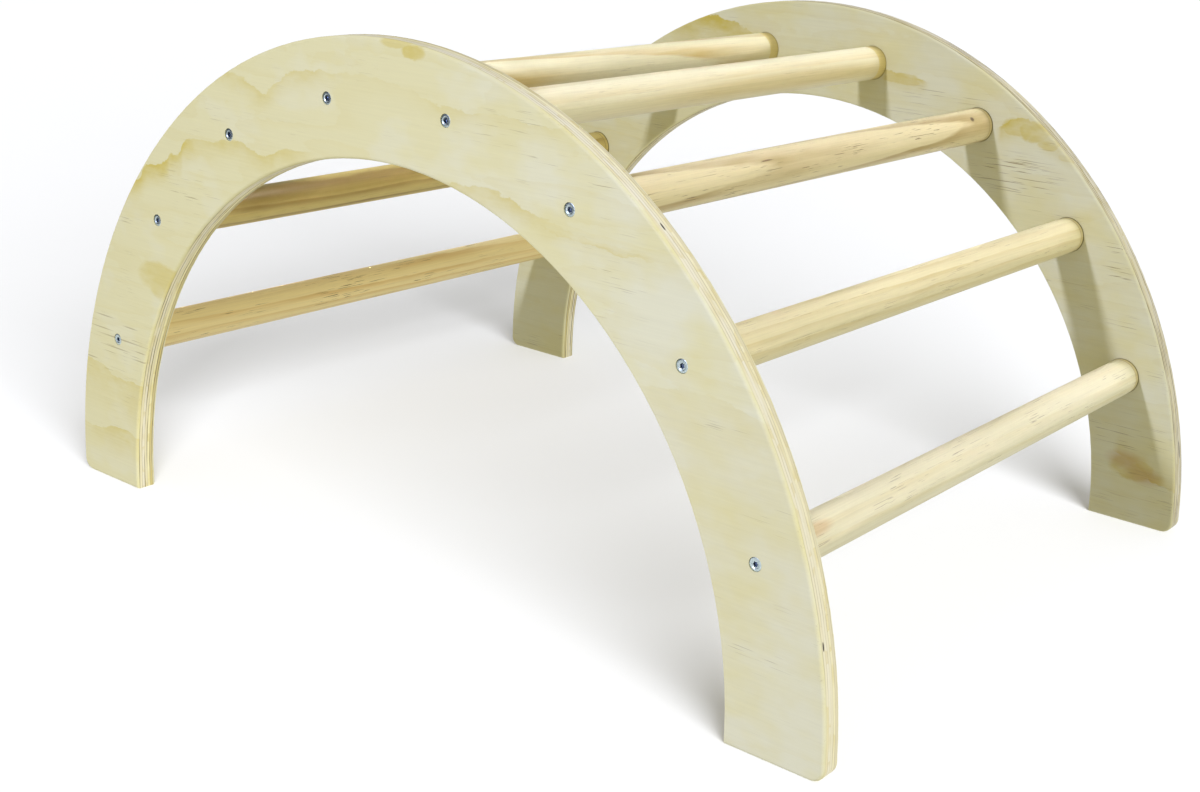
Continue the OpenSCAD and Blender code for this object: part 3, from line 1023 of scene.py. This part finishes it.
# %% [markdown]
# The key is a small, cool lamp in front, which throws the rungs' shadows down the far panel with clear
# edges. A small lamp above lights the tops, and a wide one on the right rounds the rungs. A broad, low sun
# on each panel stands in for the light that the white floor throws up at its edges, and is weaker on the
# far one. The paper's own lamp is broad, so that the paper stays white and carries only one soft shadow.

# %% Lamps
COOL = "d3d8ff"
MILD = "eaecff"
WARM = "fffef6"
PAPER_LIGHT = "fcfdff"
CREST = (0, 0, 0.2)
FEET = (0, 0, 0)
EDGE_LIGHT_FROM = (3.0, 0.5, -0.25)
EDGE_LIGHT = {"near_arch_panel": 1.8, "far_arch_panel": 1.05}
BROAD, BROADER = math.radians(20), math.radians(40)

wide_beam = dict(size=0.1, spread=math.radians(140))
lamp("key_lamp", "AREA", (-0.012, -2.05, 1.073), (0, -0.3, -0.9), COOL, 25.5, for_arch, **wide_beam)
lamp("top_lamp", "AREA", (0.7, 0.85, 2.4), CREST, MILD, 19, for_arch, size=0.2)
for panel, strength in EDGE_LIGHT.items():
    for_panel = bpy.data.collections.new("for_" + panel)
    for_panel.objects.link(nodes[panel])
    lamp(panel + "_edge_lamp", "SUN", EDGE_LIGHT_FROM, FEET, WARM, strength, for_panel, angle=BROAD)
lamp("side_lamp", "AREA", (2.6, 0.45, 0.6), CREST, WARM, 21, for_rungs, size=1.0)
lamp("sweep_lamp", "SUN", (2.4, -1.46, 0.8), FEET, PAPER_LIGHT, 8.3, for_sweep, angle=BROADER)

# %% [markdown]
# The camera stands where the photographer stood, a little above the arch and off its right end. Its place,
# turn and lens were found from the eight near screws, whose places are known. The view is kept plain
# (Standard), so that a colour comes out as it was written.

# %% Camera
EYE = Vector((0.93834, -1.11100, 0.58907))
YAW, PITCH, ROLL = math.radians(-36.205), math.radians(14.543), math.radians(2.731)
LENS_MM = 50.517
SHIFT_X, SHIFT_Y = -0.12296, -0.09710

ahead = Vector((math.sin(YAW) * math.cos(PITCH), math.cos(YAW) * math.cos(PITCH), -math.sin(PITCH)))
level_right = ahead.cross(Vector((0, 0, 1))).normalized()
level_up = level_right.cross(ahead)
right = math.cos(ROLL) * level_right + math.sin(ROLL) * level_up
up = math.cos(ROLL) * level_up - math.sin(ROLL) * level_right

bpy.ops.object.camera_add()
camera = bpy.context.object
camera.matrix_world = Matrix((right, up, -ahead)).transposed().to_4x4()
camera.location = EYE
camera.data.lens = LENS_MM
camera.data.shift_x = SHIFT_X
camera.data.shift_y = SHIFT_Y
bpy.context.scene.camera = camera
bpy.context.scene.view_settings.view_transform = "Standard"
print("camera", round(EYE.length, 3), "m from the middle of the feet")
